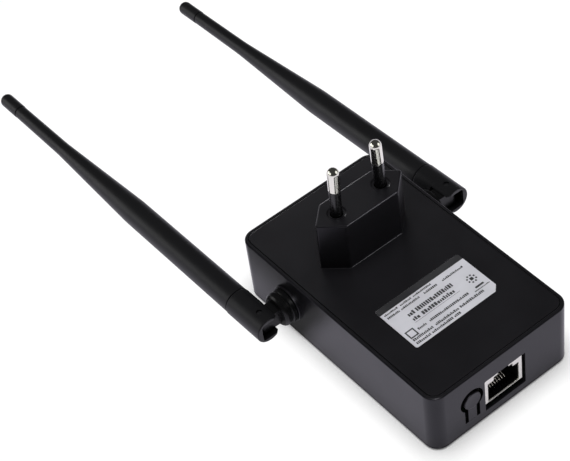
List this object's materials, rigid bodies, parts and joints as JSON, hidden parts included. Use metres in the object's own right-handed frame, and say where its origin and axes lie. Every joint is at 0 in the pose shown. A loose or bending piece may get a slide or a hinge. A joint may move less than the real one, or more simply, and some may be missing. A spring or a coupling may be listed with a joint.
{
  "type": "wifi range extender",
  "caption": "Wall-plug wireless range extender: rectangular case, Euro plug block with round pins, folding side antennas, Ethernet socket and reset button",
  "frame": {"origin": "centre of the front panel's outer face", "axes": "+Z from the front panel towards the plug pins, +Y towards the end the folded antennas point at, +X towards the right antenna"},
  "size_m": [0.0935, 0.2247, 0.0655],
  "materials": {
    "case_black": "fine moulded texture",
    "gloss_black": "polished",
    "silver_label": null,
    "antenna_black": "satin",
    "soft_black": "matte",
    "nickel_pin": "nickel plated, polished",
    "steel": "bright pressed sheet",
    "black_steel": "black oxide",
    "gold_contact": "gold plated",
    "smoked_window": "smoked, polished",
    "clear_guide": "clear moulded",
    "white_plastic": "moulded",
    "board_green": "solder mask",
    "chip_black": "moulded epoxy",
    "winding_yellow": "taped winding",
    "capacitor_sleeve": "shrink sleeve",
    "ferrite": "sintered",
    "disc_blue": "dipped",
    "resistor_green": "lacquered",
    "brown_wire": "PVC insulation",
    "blue_wire": "PVC insulation",
    "grey_wire": "coax jacket",
    "brass": "turned"
  },
  "bodies": {
    "case": {"front_housing": "case_black", "rear_cover": "case_black", "front_panel": "gloss_black", "rating_label": "silver_label", "left_pin_sleeve": "soft_black", "right_pin_sleeve": "soft_black", "jack_insert": "soft_black", "left_plug_pin": "nickel_pin", "right_plug_pin": "nickel_pin", "jack_shell": "steel", "rf_shield": "steel", "board_screw_1": "steel", "board_screw_2": "steel", "jack_contact_1": "gold_contact", "jack_contact_2": "gold_contact", "jack_contact_3": "gold_contact", "jack_contact_4": "gold_contact", "jack_contact_5": "gold_contact", "jack_contact_6": "gold_contact", "jack_contact_7": "gold_contact", "jack_contact_8": "gold_contact", "led_window": "smoked_window", "light_guide": "clear_guide", "led_power": "white_plastic", "led_wireless": "white_plastic", "led_ethernet": "white_plastic", "pin_clamp": "white_plastic", "main_board": "board_green", "wireless_chip": "chip_black", "memory_chip": "chip_black", "lan_transformer": "chip_black", "bridge_rectifier": "chip_black", "reset_switch": "chip_black", "power_transformer": "winding_yellow", "input_capacitor_1": "capacitor_sleeve", "input_capacitor_2": "capacitor_sleeve", "output_capacitor": "capacitor_sleeve", "output_inductor": "ferrite", "suppression_capacitor": "disc_blue", "fuse_resistor": "resistor_green", "live_lead": "brown_wire", "neutral_lead": "blue_wire", "left_coax": "grey_wire", "right_coax": "grey_wire"},
    "left_swivel": {"left_swivel_arm": "soft_black", "left_swivel_clip": "steel"},
    "left_antenna": {"left_hinge_pin": "black_steel", "left_antenna_fork": "antenna_black", "left_antenna_tube": "antenna_black", "left_antenna_tip": "antenna_black", "left_radiator": "brass"},
    "right_swivel": {"right_swivel_arm": "soft_black", "right_swivel_clip": "steel"},
    "right_antenna": {"right_hinge_pin": "black_steel", "right_antenna_fork": "antenna_black", "right_antenna_tube": "antenna_black", "right_antenna_tip": "antenna_black", "right_radiator": "brass"},
    "reset_button": {"reset_button": "case_black"},
    "switch_plunger": {"switch_plunger": "white_plastic"}
  },
  "joints": [
    {"name": "left_swivel_turn", "type": "hinge", "parent": "case", "child": "left_swivel", "pos_m": [-0.0293, 0.02355, 0.0136], "axis": [1, 0, 0], "range_deg": [-180, 90]},
    {"name": "left_antenna_fold", "type": "hinge", "parent": "left_swivel", "child": "left_antenna", "pos_m": [-0.04125, 0.02355, 0.0136], "axis": [0, -0.0113, 0.9999], "range_deg": [-1, 89]},
    {"name": "right_swivel_turn", "type": "hinge", "parent": "case", "child": "right_swivel", "pos_m": [0.0293, 0.02355, 0.0136], "axis": [1, 0, 0], "range_deg": [-180, 90]},
    {"name": "right_antenna_fold", "type": "hinge", "parent": "right_swivel", "child": "right_antenna", "pos_m": [0.04125, 0.02355, 0.0136], "axis": [0, -0.0279, -0.9996], "range_deg": [0, 91]},
    {"name": "reset_press", "type": "hinge", "parent": "case", "child": "reset_button", "pos_m": [-0.0136, -0.04745, 0.0049], "axis": [-1, 0, 0], "range_deg": [0, 2.2], "stiffness_Nm_per_rad": 0.25},
    {"name": "plunger_press", "type": "slide", "parent": "case", "child": "switch_plunger", "axis": [0, 1, 0], "range_m": [0, 0.00026]}
  ],
  "couplings": [
    {"joint": "plunger_press", "follows": "reset_press", "m_per_rad": 0.0067}
  ]
}
